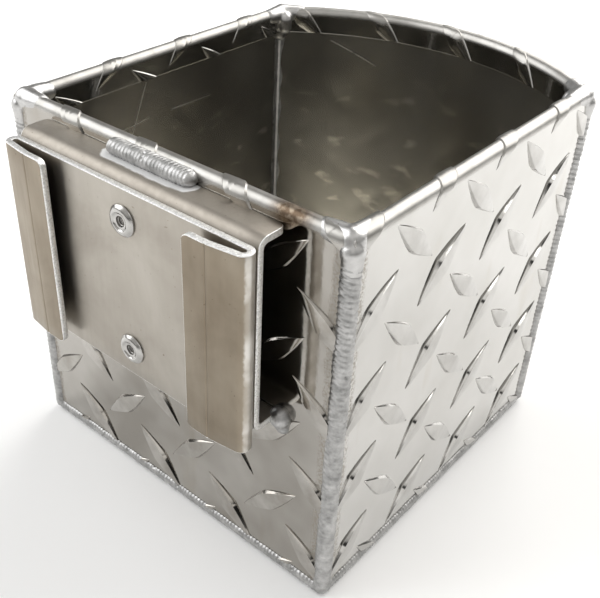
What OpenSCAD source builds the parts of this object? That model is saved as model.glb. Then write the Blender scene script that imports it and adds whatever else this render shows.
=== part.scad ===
// Hang-on tread plate box: four hemmed walls and a floor, welded along every edge,
// with a stand-off channel on the flat front wall and a riveted slide-on clip.
// The front wall faces -Y, the curved wall faces +Y, +Z is up.

/* [Box] */
// Outside width, side wall to side wall
box_w = 127; // [122:1:134]
// Length of the straight side walls
side_d = 122.5; // [116:0.5:128]
// Height of the rim above the surface the box stands on
box_h = 125; // [120:0.5:130]
// How far the curved wall bows out past the side walls
bow = 25; // [18:1:32]
// Thickness of the tread plate between its lugs
sheet_t = 1.6; // [1.2:0.1:2]

/* [Rim] */
// Height of the strip of each wall that is folded down inside the rim
hem_drop = 9.2; // [7:0.2:14]
// Inside radius of the fold
hem_r = 0.8; // [0.5:0.1:1.2]

/* [Tread lugs] */
// Distance between lugs of one lean, along the wall
pitch_u = 31.75; // [30:0.25:34]
// Distance between rows of lugs of one lean, up the wall
pitch_v = 28.5; // [27:0.25:31]
// Length of a lug
lug_len = 26; // [22:0.2:28]
// Width of a lug at its middle
lug_w = 6.4; // [5:0.2:7.4]
// Height of a lug above the sheet
lug_h = 1.1; // [0.8:0.1:1.4]

/* [Welds] */
// Radius of the upright corner beads
bead_r = 2.7; // [2.3:0.1:3]
// Radius of the beads around the floor
floor_bead_r = 2.4; // [2.1:0.1:2.6]
// Radius of the blobs that close the rim at the corners
cap_r = 3.6; // [3.2:0.1:4]

/* [Channel] */
// Length of the stand-off channel
channel_len = 91; // [84:1:96]
// Height of the channel's web
channel_h = 60; // [56:1:62]
// Distance from the front wall to the outside of the web
channel_depth = 10.2; // [9:0.1:13]
// Height of the channel's top above the ground
channel_top = 121; // [119:0.5:121.5]
// How far the bracket sits off the middle of the wall
bracket_shift = -1.5; // [-3:0.5:3]
// Sheet thickness of the channel and of the clip
bracket_t = 2; // [1.6:0.1:2.4]

/* [Clip] */
// Width over the two rolled edges
clip_w = 92.6; // [88:0.2:96]
// Height of the clip
clip_h = 61.5; // [58:0.5:63]
// Height of the clip's lower edge above the ground
clip_z = 57.5; // [56:0.5:60]
// Length of the flat leg of each rolled edge
leg_len = 9; // [7:0.5:11]
// Length of the flared lip after the leg
lip_len = 7.5; // [6:0.5:9]
// Angle between the plate and the leg
leg_angle = 8; // [5:1:11]
// Angle between the plate and the lip
lip_angle = 16; // [12:1:20]

/* [Rivets] */
// Distance between the two rivets
rivet_gap = 42.4; // [38:0.2:44]
// Diameter of the rivet heads
head_d = 9.5; // [9:0.1:11]
// Diameter of the rivet bodies
body_d = 4.8; // [4:0.1:5]

/* [Hidden] */
$fn = 64;

// Colours
bright = "#c9c7c2";
mill = "#b3ada2";
weld_grey = "#bdbdbd";
steel = "#8f8f8f";

// Rim: the fold's outside radius, and the height at which the fold starts
fold_r = sheet_t + hem_r;
fold_z = box_h - fold_r;
hem_depth = 2 * fold_r;
return_z = box_h - hem_drop;
// How far a lug sinks into its sheet
sink = 0.3;

// Curved wall: radius of its outside face and its half angle
bow_r = (box_w * box_w / 4 + bow * bow) / (2 * bow);
bow_half = asin(box_w / 2 / bow_r);

// Clip: where its faces lie in front of the wall, and how far the lips reach
plate_front = channel_depth + bracket_t;
roll_r = 0.85;
roll_out_r = roll_r + bracket_t;
roll_x = clip_w / 2 - roll_out_r;
leg_rise = leg_len * sin(leg_angle) + lip_len * sin(lip_angle);
clip_reach = plate_front + 2 * roll_r + bracket_t + leg_rise;

// The origin is under the middle of the whole object's box
back_reach = side_d + bow + lug_h;
front_y = (clip_reach - back_reach) / 2;
bow_y = front_y + side_d + bow - bow_r;

// Lug lattice: [first lug along the wall, first row, lean of that set], from outside
front_lugs = [-6.2, 11.5, -1];
right_lugs = [10.4, 13.4, 1];
left_lugs = [21.8, 12, 1];
curved_lugs = [2.6, 17.7, -1];
floor_lugs = [box_w / 2 - 2 * pitch_u, -front_y - 2 * pitch_v, 1];
// A lug counts when its centre is no further than this past the edge
lug_reach = 0.3 * lug_len;
lug_arc_r = (lug_len * lug_len + lug_w * lug_w) / (4 * lug_w);
lug_lean = atan2(pitch_v, pitch_u);

// Corners: [x, y, direction into the box along the middle of the corner, half angle]
half_back = (90 + bow_half) / 2;
front_left = [-box_w / 2, front_y, 45, 45];
front_right = [box_w / 2, front_y, 135, 45];
back_left = [-box_w / 2, front_y + side_d, -90 + half_back, half_back];
back_right = [box_w / 2, front_y + side_d, -90 - half_back, half_back];
corners = [front_left, front_right, back_left, back_right];

// Middle lines of the beads, measured in from the outside faces, and the inner beads' radius
bead_inset = 1.5;
floor_bead_inset = 1.2;
root_r = 1.1;
// How far the lugs stay from the welded edges
edge_gap = 5;
cap_arm_r = 3;
cap_arm_len = 7;
// How far a corner's mitre runs outside and inside the walls
mitre_out = 4;
mitre_in = 16;

// Bracket: middle of the channel, rivets, and the welds that hold it
bracket_x = bracket_shift;
channel_bend_r = 3.5;
rivet_mid_z = clip_z + clip_h / 2;
top_weld_len = 33;
top_weld_r = 2.5;
// The top weld's middle line: in front of the wall, and below the rim
top_weld_out = 1.5;
top_weld_drop = 2.4;
tack_r = 3.4;
// The tacks' middles: past the channel's ends, and above its lower edge
tack_out = 1;
tack_rise = 0.6;

// Rivets, measured along the rivet from the clip's front face
head_h = 1.5;
head_hole_d = 2.9;
head_floor = 0.4;
mandrel_d = 2.6;
mandrel_sink = 0.7;
grip = 2 * bracket_t;
bulb_d = 7;
bulb_end_d = 5.4;
bulb_len = 3.4;
body_len = grip + bulb_len;
mandrel_head_d = 4.4;
mandrel_head_len = 1.6;
// How far a cutting shape runs past what it cuts
past = 1;

// A point at distance d from a corner, into the box
function corner_point(c, d) = [c[0] + d * cos(c[2]), c[1] + d * sin(c[2])];

// ---------- outlines ----------

// Lens outline of one lug, lying along X
module lug_outline() {
    intersection() {
        translate([0, lug_arc_r - lug_w / 2]) circle(lug_arc_r);
        translate([0, lug_w / 2 - lug_arc_r]) circle(lug_arc_r);
    }
}

// Section of a hemmed wall: X runs into the box from the outside face, Y is height
module hem_section() {
    translate([0, lug_h]) square([sheet_t, fold_z - lug_h]);
    translate([fold_r + hem_r, return_z]) square([sheet_t, fold_z - return_z]);
    difference() {
        translate([fold_r, fold_z]) circle(fold_r);
        translate([fold_r, fold_z]) circle(hem_r);
        translate([-past, fold_z - hem_depth]) square([hem_depth + 2 * past, hem_depth]);
    }
}

// Plan of the box at a distance inside its outside faces
module plan(inset) {
    w = box_w - 2 * inset;
    intersection() {
        translate([-w / 2, front_y + inset]) square([w, side_d + bow]);
        union() {
            translate([0, bow_y]) circle(bow_r - inset, $fn = 180);
            translate([-w / 2, front_y + inset]) square([w, side_d - inset]);
        }
    }
}

// Plan of the part of the wall that lies between the middle lines of its two corners
module mitre_plan(len, a0, a1) {
    polygon([
        [-mitre_out * cos(a0), -mitre_out * sin(a0)],
        [len + mitre_out * cos(a1), -mitre_out * sin(a1)],
        [len - mitre_in * cos(a1), mitre_in * sin(a1)],
        [mitre_in * cos(a0), mitre_in * sin(a0)]
    ]);
}

// ---------- walls ----------

// Calls its children once for each lug whose centre is within reach of the wall
module lattice(first, len, low, high) {
    steps = ceil(2 * (len + pitch_u) / pitch_u);
    rows = ceil(2 * (high + pitch_v) / pitch_v);
    for (i = [-2:steps], j = [-2:rows]) {
        u = first[0] + i * pitch_u / 2;
        v = first[1] + j * pitch_v / 2;
        lean = (j % 2 == 0 ? 1 : -1) * first[2];
        along = u > -lug_reach && u < len + lug_reach;
        up = v > low - lug_reach && v < high + lug_reach;
        if ((i + j) % 2 == 0 && along && up) {
            $u = u;
            $v = v;
            $lean = lean * lug_lean;
            children();
        }
    }
}

// The part of the lattice that shows on the folded strip, seen as heights inside the box
function folded(v) = 2 * fold_z + PI * fold_r - v;

module flat_lugs(first, len) {
    intersection() {
        translate([edge_gap, -lug_h, edge_gap])
            cube([len - 2 * edge_gap, lug_h + sink, fold_z - edge_gap]);
        lattice(first, len, 0, fold_z)
            translate([$u, sink, $v]) rotate([90, 0, 0])
                linear_extrude(lug_h + sink) rotate($lean) lug_outline();
    }
}

module flat_hem_lugs(first, len) {
    high = folded(return_z);
    intersection() {
        translate([2 * edge_gap, hem_depth - sink, return_z])
            cube([len - 4 * edge_gap, lug_h + sink, fold_z - return_z]);
        lattice(first, len, high - hem_drop, high)
            translate([$u, hem_depth + lug_h, folded($v)]) rotate([90, 0, 0])
                linear_extrude(lug_h + sink) rotate(-$lean) lug_outline();
    }
}

// A flat hemmed wall: X along it as seen from outside, Y into the box
module flat_wall(len, a0, a1, first) {
    intersection() {
        linear_extrude(box_h) mitre_plan(len, a0, a1);
        union() {
            translate([-mitre_out, 0, 0]) rotate([90, 0, 90])
                linear_extrude(len + 2 * mitre_out) hem_section();
            flat_lugs(first, len);
            flat_hem_lugs(first, len);
        }
    }
}

// The curved wall's lugs on its outside face, or mirrored on its folded strip
module curved_lugs_between(r0, r1, low, high, mirrored) {
    len = 2 * bow_half * PI / 180 * bow_r;
    from = mirrored ? folded(return_z) - hem_drop : 0;
    to = mirrored ? folded(return_z) : fold_z;
    gap = (mirrored ? 2 : 1) * edge_gap / bow_r * 180 / PI;
    intersection() {
        rotate([0, 0, 90 - bow_half + gap]) rotate_extrude(angle = 2 * (bow_half - gap), $fn = 180)
            translate([r0, low]) square([r1 - r0, high - low]);
        lattice(curved_lugs, len, from, to) {
            turn = 90 - bow_half + $u / bow_r * 180 / PI;
            rotate([0, 0, turn]) translate([r0 - past, 0, mirrored ? folded($v) : $v])
                rotate([90, 0, 90]) linear_extrude(r1 - r0 + 2 * past)
                    rotate(mirrored ? -$lean : $lean) lug_outline();
        }
    }
}

// Keeps what lies between the middle lines of the two back corners
module back_sector(h) {
    far_y = front_y + side_d + 2 * bow;
    linear_extrude(h) polygon([
        corner_point(back_left, mitre_in), corner_point(back_left, -mitre_out),
        [-box_w / 2, far_y], [box_w / 2, far_y],
        corner_point(back_right, -mitre_out), corner_point(back_right, mitre_in)
    ]);
}

// Everything that the walls leave room for at their edges
module edge_welds() {
    for (c = corners) {
        bead_rod(c);
        root_rod(c);
        cap_shape(c);
    }
    floor_rod_front();
    floor_rod_side(1);
    floor_rod_side(-1);
    floor_rod_back();
}

module bracket_wall() {
    color(bright) difference() {
        translate([-box_w / 2, front_y, 0]) flat_wall(box_w, 45, 45, front_lugs);
        edge_welds();
    }
}

module right_wall() {
    color(bright) difference() {
        translate([box_w / 2, front_y, 0]) rotate([0, 0, 90])
            flat_wall(side_d, 45, half_back, right_lugs);
        edge_welds();
    }
}

module left_wall() {
    color(bright) difference() {
        translate([-box_w / 2, front_y + side_d, 0]) rotate([0, 0, -90])
            flat_wall(side_d, half_back, 45, left_lugs);
        edge_welds();
    }
}

module curved_wall() {
    margin = 4;
    half = bow_half + margin;
    color(bright) difference() {
        intersection() {
            back_sector(box_h);
            translate([0, bow_y, 0]) union() {
                rotate([0, 0, 90 - half]) rotate_extrude(angle = 2 * half, $fn = 180)
                    translate([bow_r, 0]) mirror([1, 0]) hem_section();
                curved_lugs_between(bow_r - sink, bow_r + lug_h, edge_gap, fold_z, false);
                curved_lugs_between(bow_r - hem_depth - lug_h, bow_r - hem_depth + sink,
                    return_z, fold_z, true);
            }
        }
        edge_welds();
    }
}

module floor_plate() {
    color(bright) difference() {
        union() {
            translate([0, 0, lug_h]) linear_extrude(sheet_t) plan(sheet_t);
            intersection() {
                linear_extrude(lug_h + sink) plan(2 * sheet_t);
                translate([-box_w / 2, front_y, 0])
                    lattice(floor_lugs, box_w, 0, side_d + bow)
                        translate([$u, $v, 0]) rotate($lean)
                            linear_extrude(lug_h + sink) lug_outline();
            }
        }
        edge_welds();
    }
}

// ---------- welds ----------

module bead_rod(c) {
    translate(corner_point(c, bead_inset / sin(c[3]))) cylinder(h = fold_z, r = bead_r);
}

// The line of weld that shows inside the corner, up to the folded strips
module root_rod(c) {
    translate([0, 0, lug_h + sheet_t]) translate(corner_point(c, sheet_t / sin(c[3])))
        cylinder(h = return_z - lug_h - sheet_t - 1, r = root_r);
}

// The blob on a rim corner, with a short arm along each fold
module cap_shape(c) {
    p = corner_point(c, fold_r / sin(c[3]));
    translate([p[0], p[1], fold_z]) {
        rotate([0, 0, c[2] + 180]) sphere(cap_r);
        for (side = [-1, 1]) rotate([0, 0, c[2] + side * c[3]]) rotate([0, 90, 0])
            cylinder(h = cap_arm_len, r = cap_arm_r);
    }
}

module floor_rod_front() {
    translate([0, front_y + floor_bead_inset, floor_bead_r]) rotate([0, 90, 0])
        cylinder(h = box_w - 2 * bead_inset, r = floor_bead_r, center = true);
}

module floor_rod_side(side) {
    x = side * (box_w / 2 - floor_bead_inset);
    translate([x, front_y + bead_inset, floor_bead_r]) rotate([-90, 0, 0])
        cylinder(h = side_d - 2 * bead_inset, r = floor_bead_r);
}

module floor_rod_back() {
    half = bow_half - 2 * bead_inset / bow_r * 180 / PI;
    translate([0, bow_y, 0]) rotate([0, 0, 90 - half])
        rotate_extrude(angle = 2 * half, $fn = 180)
            translate([bow_r - floor_bead_inset, floor_bead_r]) circle(floor_bead_r);
}

// The space inside the box, above the floor
module inside() {
    translate([0, 0, lug_h + sheet_t]) linear_extrude(box_h) plan(sheet_t);
}

module corner_weld(c) {
    color(weld_grey) difference() {
        union() {
            difference() {
                bead_rod(c);
                inside();
            }
            root_rod(c);
        }
        cap_shape(c);
    }
}

module rim_cap(c) {
    color(weld_grey) cap_shape(c);
}

module floor_weld() {
    color(weld_grey) difference() {
        children();
        inside();
        for (c = corners) bead_rod(c);
    }
}

module floor_weld_front() {
    floor_weld() floor_rod_front();
}

module floor_weld_left() {
    floor_weld() floor_rod_side(-1);
}

module floor_weld_right() {
    floor_weld() floor_rod_side(1);
}

module floor_weld_back() {
    floor_weld() floor_rod_back();
}

// ---------- bracket ----------

// Section of the channel: X is distance in front of the wall, Y is height
module channel_outline(inset) {
    r = channel_bend_r - inset;
    w = channel_depth - inset;
    h = channel_h - 2 * inset;
    translate([0, inset]) {
        square([w - r, h]);
        translate([0, r]) square([w, h - 2 * r]);
        translate([w - r, r]) circle(r);
        translate([w - r, h - r]) circle(r);
    }
}

module channel_solid() {
    translate([bracket_x + channel_len / 2, front_y, channel_top - channel_h])
        rotate([90, 0, -90]) linear_extrude(channel_len) difference() {
            channel_outline(0);
            translate([-past, 0]) channel_outline(bracket_t);
            translate([0, bracket_t]) square([channel_bend_r, channel_h - 2 * bracket_t]);
            translate([-past, -past]) square([past + lug_h, channel_h + 2 * past]);
        }
}

module rivet_holes() {
    for (side = [-1, 1])
        translate([bracket_x, front_y - lug_h - past, rivet_mid_z + side * rivet_gap / 2])
            rotate([90, 0, 0]) cylinder(h = channel_depth + 2 * bracket_t, d = body_d);
}

module mount_channel() {
    color(mill) difference() {
        channel_solid();
        rivet_holes();
    }
}

// One rolled edge of the clip, for the +X side: a half roll, a leg and a flared lip
module rolled_edge() {
    translate([roll_x, plate_front + roll_r]) {
        difference() {
            circle(roll_out_r);
            circle(roll_r);
            translate([-2 * roll_out_r, -2 * roll_out_r])
                square([2 * roll_out_r, 4 * roll_out_r]);
        }
        rotate(180 - leg_angle) translate([0, -roll_out_r]) {
            square([leg_len, bracket_t]);
            translate([leg_len, bracket_t]) rotate(leg_angle - lip_angle)
                translate([0, -bracket_t]) square([lip_len, bracket_t]);
        }
    }
}

module clip_plate() {
    color(mill) difference() {
        translate([bracket_x, front_y, clip_z]) linear_extrude(clip_h) mirror([0, 1]) {
            translate([-roll_x, channel_depth]) square([2 * roll_x, bracket_t]);
            rolled_edge();
            mirror([1, 0]) rolled_edge();
        }
        rivet_holes();
    }
}

// Places a rivet: Z runs from the clip's front face towards the person
module at_rivet(side) {
    translate([bracket_x, front_y - plate_front, rivet_mid_z + side * rivet_gap / 2])
        rotate([90, 0, 0]) children();
}

// Section of the rivet body, from its pulled-up blind end to its domed head
module rivet_body_section() {
    difference() {
        union() {
            translate([0, -grip]) square([body_d / 2, grip]);
            translate([0, -body_len]) square([bulb_end_d / 2, bulb_len]);
            translate([0, -grip - bulb_len / 2]) intersection() {
                square([bulb_d / 2, bulb_len], center = true);
                circle(bulb_d / 2);
            }
            intersection() {
                square([head_d / 2, head_h]);
                translate([0, head_h - head_d]) circle(head_d);
            }
        }
        translate([0, -body_len - past]) square([mandrel_d / 2, body_len + head_h + 2 * past]);
        translate([0, head_floor]) square([head_hole_d / 2, head_h]);
        translate([-bulb_d, -2 * body_len]) square([bulb_d, 3 * body_len]);
    }
}

module rivet_body(side) {
    color(steel) at_rivet(side) rotate_extrude() rivet_body_section();
}

module rivet_mandrel(side) {
    color(steel) at_rivet(side) {
        translate([0, 0, -body_len])
            cylinder(h = body_len + head_h - mandrel_sink, d = mandrel_d);
        translate([0, 0, -body_len - mandrel_head_len])
            cylinder(h = mandrel_head_len, d = mandrel_head_d);
    }
}

// The bead that joins the channel's top flange to the outside of the fold
module channel_top_weld() {
    half = top_weld_len / 2 - top_weld_r;
    color(weld_grey) difference() {
        translate([bracket_x, front_y - top_weld_out, box_h - top_weld_drop]) {
            rotate([0, 90, 0]) cylinder(h = 2 * half, r = top_weld_r, center = true);
            for (side = [-1, 1]) translate([side * half, 0, 0]) sphere(top_weld_r);
        }
        channel_solid();
        translate([-box_w / 2, front_y, 0]) rotate([90, 0, 90])
            linear_extrude(box_w) hem_section();
        translate([-box_w / 2, front_y + sheet_t / 2, return_z])
            cube([box_w, hem_depth, fold_z - return_z]);
    }
}

// A short blob of weld at one end of the channel's lower flange
module channel_tack(side) {
    x = bracket_x + side * (channel_len / 2 + tack_out);
    color(weld_grey) difference() {
        translate([x, front_y, channel_top - channel_h + tack_rise]) rotate([90, 0, 0])
            rotate_extrude() intersection() {
                circle(tack_r);
                square(tack_r);
            }
        channel_solid();
    }
}

bracket_wall();
left_wall();
right_wall();
curved_wall();
floor_plate();
mount_channel();
clip_plate();
rivet_body(1);  // rivet_body_upper
rivet_body(-1);  // rivet_body_lower
rivet_mandrel(1);  // rivet_mandrel_upper
rivet_mandrel(-1);  // rivet_mandrel_lower
corner_weld(front_left);  // corner_weld_front_left
corner_weld(front_right);  // corner_weld_front_right
corner_weld(back_left);  // corner_weld_back_left
corner_weld(back_right);  // corner_weld_back_right
rim_cap(front_left);  // rim_cap_front_left
rim_cap(front_right);  // rim_cap_front_right
rim_cap(back_left);  // rim_cap_back_left
rim_cap(back_right);  // rim_cap_back_right
floor_weld_front();
floor_weld_left();
floor_weld_right();
floor_weld_back();
channel_top_weld();
channel_tack(-1);  // channel_tack_left
channel_tack(1);  // channel_tack_right
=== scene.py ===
"""The looks of the hang-on tread plate box: hemmed walls with raised lugs, rippled welds, bracket, rivets."""

import math

import bmesh
import bpy
import numpy as np
from mathutils import Matrix, Vector


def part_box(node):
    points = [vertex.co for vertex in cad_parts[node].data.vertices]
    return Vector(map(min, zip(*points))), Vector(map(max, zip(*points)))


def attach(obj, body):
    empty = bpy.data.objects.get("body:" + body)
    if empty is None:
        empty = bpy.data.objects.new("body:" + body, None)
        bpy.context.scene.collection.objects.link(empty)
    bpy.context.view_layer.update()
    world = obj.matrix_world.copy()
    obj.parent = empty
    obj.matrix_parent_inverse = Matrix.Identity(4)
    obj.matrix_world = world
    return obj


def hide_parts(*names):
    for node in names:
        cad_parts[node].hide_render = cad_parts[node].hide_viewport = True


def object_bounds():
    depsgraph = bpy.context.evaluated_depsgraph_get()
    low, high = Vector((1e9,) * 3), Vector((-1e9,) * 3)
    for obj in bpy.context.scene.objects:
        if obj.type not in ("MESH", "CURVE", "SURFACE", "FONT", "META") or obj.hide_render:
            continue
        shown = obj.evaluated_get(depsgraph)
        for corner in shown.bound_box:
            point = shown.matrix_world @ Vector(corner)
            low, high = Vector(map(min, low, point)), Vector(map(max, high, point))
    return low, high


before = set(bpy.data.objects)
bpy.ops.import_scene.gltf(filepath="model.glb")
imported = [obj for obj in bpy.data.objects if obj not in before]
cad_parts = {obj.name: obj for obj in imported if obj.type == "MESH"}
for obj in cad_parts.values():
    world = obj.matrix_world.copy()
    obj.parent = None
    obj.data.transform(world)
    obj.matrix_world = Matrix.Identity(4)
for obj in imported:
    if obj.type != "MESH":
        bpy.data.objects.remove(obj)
CAD_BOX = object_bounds()

MM = 0.001
AXES = {"x": 0, "y": 1, "z": 2}

# -------- dimensions

# The same driving dimensions as the solids have, in millimetres
SHEET_T = 1.6
HEM_DROP = 9.2
FOLD_R = 2.4
PITCH_U = 31.75
PITCH_V = 28.5
LUG_LEN = 26
LUG_W = 6.6
LUG_H = 1.1
LUG_LEAN = math.atan2(PITCH_V, PITCH_U)
SIDE_D = 122.5
BEAD_R = 2.7
BEAD_INSET = 1.5
BRACKET_T = 2.0
CHANNEL_BEND_R = 3.5

# A lug of each wall's lattice: along the wall, up it, and which way its row leans
FRONT_LUGS = (-6.2, 11.5, -1)
RIGHT_LUGS = (10.4, 13.4, 1)
LEFT_LUGS = (21.8, 12, 1)
CURVED_LUGS = (2.6, 17.7, -1)

# Finer shape than the solids have. RIDGE_FALL is the share of its height that a lug's ridge loses towards
# its tips, the crowns what its top loses towards its flanks, and DIMPLE how far it shows on the other side.
FLANK_SLOPE = 1.75
RIDGE_FALL = 0.86
LOW_CROWN = 0.15
HIGH_CROWN = 0.55
DIMPLE = 0.09
RIM_CAP_INSET = FOLD_R + 0.4
CUT_BEVEL = 0.28


def low(node, axis):
    """Lowest coordinate of a solid, in millimetres."""
    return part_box(node)[0][AXES[axis]] / MM


def high(node, axis):
    """Highest coordinate of a solid, in millimetres."""
    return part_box(node)[1][AXES[axis]] / MM


def span(node, axis):
    """Lowest and highest coordinate of a solid."""
    return low(node, axis), high(node, axis)


# Places that follow from the solids
HALF_W = high("right_wall", "x") - LUG_H
FRONT_Y = low("bracket_wall", "y") + LUG_H
SIDE_END = FRONT_Y + SIDE_D
BOW_Y = high("curved_wall", "y") - LUG_H
RIM_Z = high("bracket_wall", "z")
FOLD_Z = RIM_Z - FOLD_R
RETURN_Z = RIM_Z - HEM_DROP
HEM_DEPTH = 2 * FOLD_R
BOW = BOW_Y - SIDE_END
BOW_R = (HALF_W**2 + BOW**2) / (2 * BOW)
BOW_HALF = math.asin(HALF_W / BOW_R)
BOW_MID_Y = BOW_Y - BOW_R
BACK_HALF = (math.pi / 2 + BOW_HALF) / 2
SHEET_TOP = FOLD_Z + math.pi * FOLD_R + FOLD_Z - RETURN_Z
BRACKET_X = sum(span("mount_channel", "x")) / 2
CLIP_FACE_Y = high("clip_plate", "y") - BRACKET_T
CLIP_HALF_W = (high("clip_plate", "x") - low("clip_plate", "x")) / 2

# -------- small helpers


def wave(points, scale, seed):
    """Smooth noise between -1 and 1 at points given in millimetres, for slow dents and waves."""
    rng = np.random.default_rng(seed)
    waves = 6
    total = np.zeros(len(points))
    for _ in range(waves):
        direction = rng.normal(size=points.shape[1])
        direction /= np.linalg.norm(direction)
        length = scale * rng.uniform(0.7, 1.5)
        start = rng.uniform(0, 6.3)
        total += np.sin(points @ direction * (2 * math.pi / length) + start)
    return total / waves


def travelled(points):
    """How far along a line each of its points lies."""
    steps = np.linalg.norm(np.diff(points, axis=0), axis=1)
    return np.concatenate([[0], np.cumsum(steps)])


def read_at(places, travel, values):
    """Rows of values read off at places along a line."""
    return np.stack([np.interp(places, travel, column) for column in values.T], -1)


def add_object(name, data):
    """A new object in the scene."""
    made = bpy.data.objects.new(name, data)
    bpy.context.scene.collection.objects.link(made)
    return made


def make_object(name, points, faces, materials, face_slots=None, sharp=None):
    """A smooth-shaded mesh object from points in millimetres, with edges sharp from an angle in degrees."""
    mesh = bpy.data.meshes.new(name)
    mesh.from_pydata([tuple(p) for p in np.asarray(points) * MM], [], faces)
    mesh.validate()
    for material in materials:
        mesh.materials.append(material)
    if face_slots is not None:
        mesh.polygons.foreach_set("material_index", face_slots)
    mesh.shade_smooth()
    if sharp:
        mesh.set_sharp_from_angle(angle=math.radians(sharp))
    mesh.update()
    return add_object(name, mesh)


def install(piece, node):
    """Lets a piece stand for one solid and ride on the body."""
    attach(piece, "root")
    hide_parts(node)


def ring_quads(count, around, flip=False):
    """Quads between rings of points that are stored ring by ring."""
    i = np.arange(count - 1)[:, None] * around
    j = np.arange(around)[None, :]
    nxt = (j + 1) % around
    quads = np.stack(np.broadcast_arrays(i + j, i + nxt, i + around + nxt, i + around + j), -1).reshape(-1, 4)
    return (quads[:, ::-1] if flip else quads).tolist()


def tube_faces(count, around):
    """Faces of a tube through rings of points, with its two ends closed."""
    ends = [list(range(around))[::-1], list(range((count - 1) * around, count * around))]
    return ring_quads(count, around) + ends


# -------- walls


class Wall:
    """Maps the flat sheet to space: u along the wall, v up it and over the fold, h above its surface."""

    def __init__(self, length, ends, origin=None, along=None, inward=None):
        self.length = length
        self.ends = ends
        self.origin = origin
        self.along = along
        self.inward = inward

    def at(self, u, inset, z):
        """A place in space; a wall without an origin is the bowed one."""
        if self.origin is None:
            turn = math.pi / 2 - BOW_HALF + u / BOW_R
            r = BOW_R - inset
            return np.stack([r * np.cos(turn), BOW_MID_Y + r * np.sin(turn), z], -1)
        flat = self.origin + np.multiply.outer(u, self.along) + np.multiply.outer(inset, self.inward)
        return np.concatenate([flat, z[..., None]], -1)

    def profile(self, v, h):
        """Inset from the outside face and height of a point h above the sheet at v."""
        turn = np.clip((v - FOLD_Z) / FOLD_R, 0, math.pi)
        straight = np.minimum(v, FOLD_Z)
        past = np.maximum(v - FOLD_Z - math.pi * FOLD_R, 0)
        inset = FOLD_R - (FOLD_R + h) * np.cos(turn)
        z = straight + (FOLD_R + h) * np.sin(turn) - past
        return inset, z

    def surface(self, u, v, h):
        """The place in space of a point of the flat sheet."""
        inset, z = self.profile(v, h)
        return self.at(u, inset, z)

    def mitred(self, share, v, h):
        """As surface, with the wall's ends cut along the middle of its corners."""
        inset, z = self.profile(v, h)
        start = inset / math.tan(self.ends[0])
        end = self.length - inset / math.tan(self.ends[1])
        return self.at(start + share * (end - start), inset, z)


def all_walls():
    """The bracket wall, the right wall, the left wall and the bowed wall."""
    quarter = math.pi / 4
    x, y = np.array([1.0, 0]), np.array([0, 1.0])
    front = Wall(2 * HALF_W, (quarter, quarter), np.array([-HALF_W, FRONT_Y]), x, y)
    right = Wall(SIDE_D, (quarter, BACK_HALF), np.array([HALF_W, FRONT_Y]), y, -x)
    left = Wall(SIDE_D, (BACK_HALF, quarter), np.array([-HALF_W, SIDE_END]), -y, x)
    curved = Wall(2 * BOW_HALF * BOW_R, (BACK_HALF, BACK_HALF))
    return front, right, left, curved


def sheet_rows():
    """Heights on the flat sheet at which the wall has a row of points: close together around the fold."""
    body = np.linspace(LUG_H + 0.2, FOLD_Z, 96)
    fold = np.linspace(FOLD_Z, FOLD_Z + math.pi * FOLD_R, 19)[1:]
    strip = np.linspace(FOLD_Z + math.pi * FOLD_R, SHEET_TOP - 0.35, 7)[1:]
    return np.concatenate([body, fold, strip])


def dimples(u, v, places):
    """How deep the lugs show through on the sheet's smooth side."""
    deep = np.zeros(u.shape)
    for centre_u, centre_v, lean in places:
        du, dv = u - centre_u, v - centre_v
        x = (du * math.cos(lean) + dv * math.sin(lean)) / (LUG_LEN * 0.36)
        y = (dv * math.cos(lean) - du * math.sin(lean)) / (LUG_W * 0.42)
        deep += np.exp(-(x**2) - y**2)
    return deep


def sheet_mesh(wall, seed, places):
    """The folded sheet itself: outer skin, rounded free edge, inner skin and closed ends."""
    rows = sheet_rows()
    columns = int(wall.length / 1.1)
    share = np.linspace(0, 1, columns)
    edge = [(SHEET_TOP - 0.1, -0.12), (SHEET_TOP, -0.45)]
    edge += [(v, -SHEET_T - h) for v, h in edge[::-1]]
    ring_v = np.concatenate([rows, [e[0] for e in edge], rows[::-1]])
    ring_h = np.concatenate([np.zeros(len(rows)), [e[1] for e in edge], np.full(len(rows), -SHEET_T)])
    s, v = np.meshgrid(share, ring_v, indexing="ij")
    h = np.broadcast_to(ring_h, v.shape).copy()
    flat = np.stack([s.ravel() * wall.length, v.ravel()], -1)
    fade = np.clip(np.minimum(s, 1 - s) * wall.length / 14, 0, 1) * np.clip((RETURN_Z - v) / 12, 0, 1)
    dent = 0.16 * wave(flat, 70, seed).reshape(v.shape) + 0.05 * wave(flat, 23, seed + 1).reshape(v.shape)
    sag = 0.12
    h += dent * fade - sag * fade
    smooth_side = (np.arange(len(ring_v)) >= len(rows) + len(edge)) & (ring_v < FOLD_Z - 2)
    h += DIMPLE * dimples(s * wall.length, v, places) * smooth_side
    points = wall.mitred(s, v, h).reshape(-1, 3)
    around = len(ring_v)
    faces = tube_faces(columns, around)
    inner_from = len(rows) + len(edge) - 1
    slots = [1 if inner_from <= k % around < around - 1 else 0 for k in range((columns - 1) * around)] + [0, 0]
    return points, faces, slots


# -------- lugs


def lug_places(first, length, bottom, top):
    """Centres and leans of the lugs of a lattice, whose rows lean opposite ways by turns."""
    margin = 0.6 * LUG_LEN
    for j in range(-2, 14):
        for i in range(-4, 14):
            u = first[0] + i * PITCH_U / 2
            v = first[1] + j * PITCH_V / 2
            lean = LUG_LEAN * (1 if j % 2 == 0 else -1) * first[2]
            if (i + j) % 2 == 0 and -margin < u < length + margin and bottom - margin < v < top + margin:
                yield u, v, lean


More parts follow.
